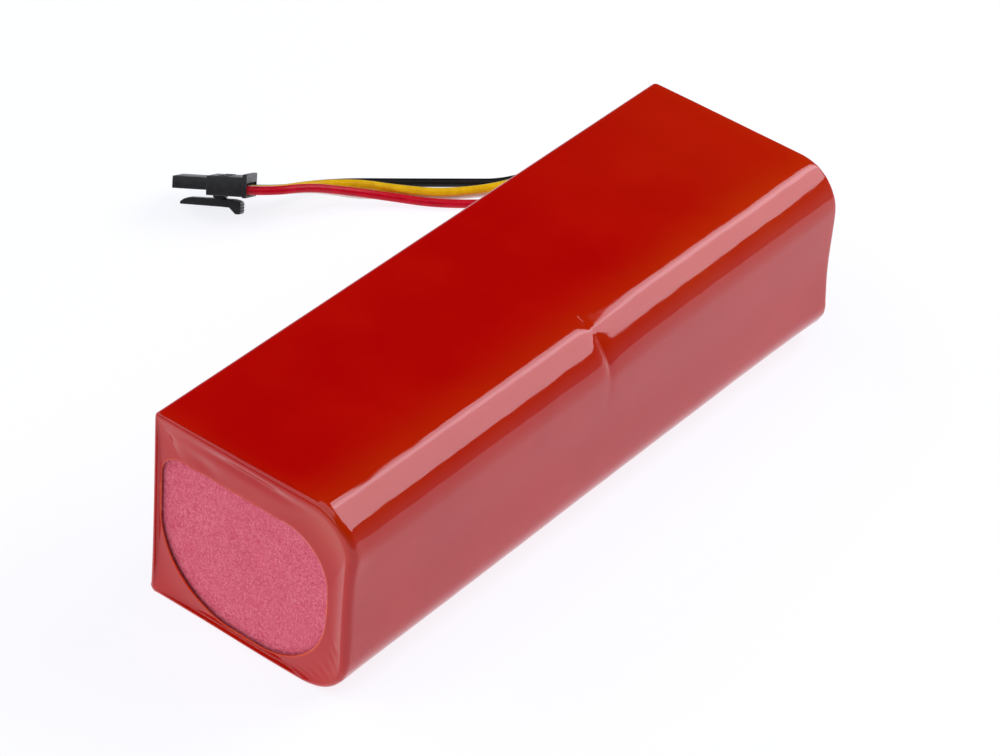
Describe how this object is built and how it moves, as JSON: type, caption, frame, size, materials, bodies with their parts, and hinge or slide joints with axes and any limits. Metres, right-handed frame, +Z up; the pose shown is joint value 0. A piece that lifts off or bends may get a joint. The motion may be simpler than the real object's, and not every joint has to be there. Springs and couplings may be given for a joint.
{
  "type": "battery pack",
  "caption": "Box-shaped rechargeable battery pack in red heat-shrink film, with a short bundle of leads ending in a black latching plug.",
  "frame": {"origin": "middle of the sleeve's underside, on the surface that the pack stands on", "axes": "+Z up, +Y along the pack's length towards the end that the leads leave, +X towards the rounded side, away from the circuit board"},
  "size_m": [0.1169, 0.1581, 0.0384],
  "materials": {
    "sleeve_film": "glossy heat-shrunk film",
    "end_paper": "speckled fibre paper",
    "can_steel": "drawn nickel-plated steel",
    "electrode_roll": "wound foil",
    "cell_wrap": "shrunk film",
    "cap_steel": "pressed nickel-plated steel",
    "nickel": "rolled nickel",
    "circuit_board": "solder mask on glass laminate",
    "chip_plastic": "moulded epoxy",
    "fibre_paper": "vulcanised fibre paper",
    "cover_board": "plain glass laminate",
    "thermistor_glass": "glass bead",
    "red_insulation": "extruded vinyl",
    "white_insulation": "extruded vinyl",
    "yellow_insulation": "extruded vinyl",
    "black_insulation": "extruded vinyl",
    "plug_nylon": "moulded nylon",
    "contact_brass": "tin-plated brass"
  },
  "bodies": {
    "pack": {"black_wire": "black_insulation", "board_insulator": "fibre_paper", "board_passives": "chip_plastic", "board_transistors": "chip_plastic", "bottom_paper": "fibre_paper", "cell_1_can": "can_steel", "cell_1_cap": "cap_steel", "cell_1_roll": "electrode_roll", "cell_1_wrap": "cell_wrap", "cell_2_can": "can_steel", "cell_2_cap": "cap_steel", "cell_2_roll": "electrode_roll", "cell_2_wrap": "cell_wrap", "cell_3_can": "can_steel", "cell_3_cap": "cap_steel", "cell_3_roll": "electrode_roll", "cell_3_wrap": "cell_wrap", "cell_4_can": "can_steel", "cell_4_cap": "cap_steel", "cell_4_roll": "electrode_roll", "cell_4_wrap": "cell_wrap", "cell_5_can": "can_steel", "cell_5_cap": "cap_steel", "cell_5_roll": "electrode_roll", "cell_5_wrap": "cell_wrap", "cell_6_can": "can_steel", "cell_6_cap": "cap_steel", "cell_6_roll": "electrode_roll", "cell_6_wrap": "cell_wrap", "cell_7_can": "can_steel", "cell_7_cap": "cap_steel", "cell_7_roll": "electrode_roll", "cell_7_wrap": "cell_wrap", "cell_8_can": "can_steel", "cell_8_cap": "cap_steel", "cell_8_roll": "electrode_roll", "cell_8_wrap": "cell_wrap", "cell_rings": "fibre_paper", "control_chip": "chip_plastic", "front_end_pad": "end_paper", "front_negative_strip": "nickel", "front_positive_strip": "nickel", "middle_lower_strip": "nickel", "middle_upper_strip": "nickel", "negative_lead": "nickel", "plug_contacts": "contact_brass", "plug_housing": "plug_nylon", "positive_lead": "nickel", "protection_board": "circuit_board", "rear_bridge_strip": "nickel", "rear_end_pad": "end_paper", "red_wire": "red_insulation", "sense_lead": "nickel", "shrink_sleeve": "sleeve_film", "side_cover_board": "cover_board", "thermistor": "thermistor_glass", "top_paper": "fibre_paper", "white_wire": "white_insulation", "yellow_wire": "yellow_insulation"},
    "latch": {"latch_lever": "plug_nylon"}
  },
  "joints": [
    {"name": "latch_press", "type": "hinge", "parent": "pack", "child": "latch", "pos_m": [-0.08502, 0.02044, 0.00358], "axis": [0.4067, -0.7434, 0.531], "range_deg": [0, 5.5], "stiffness_Nm_per_rad": 0.2}
  ]
}
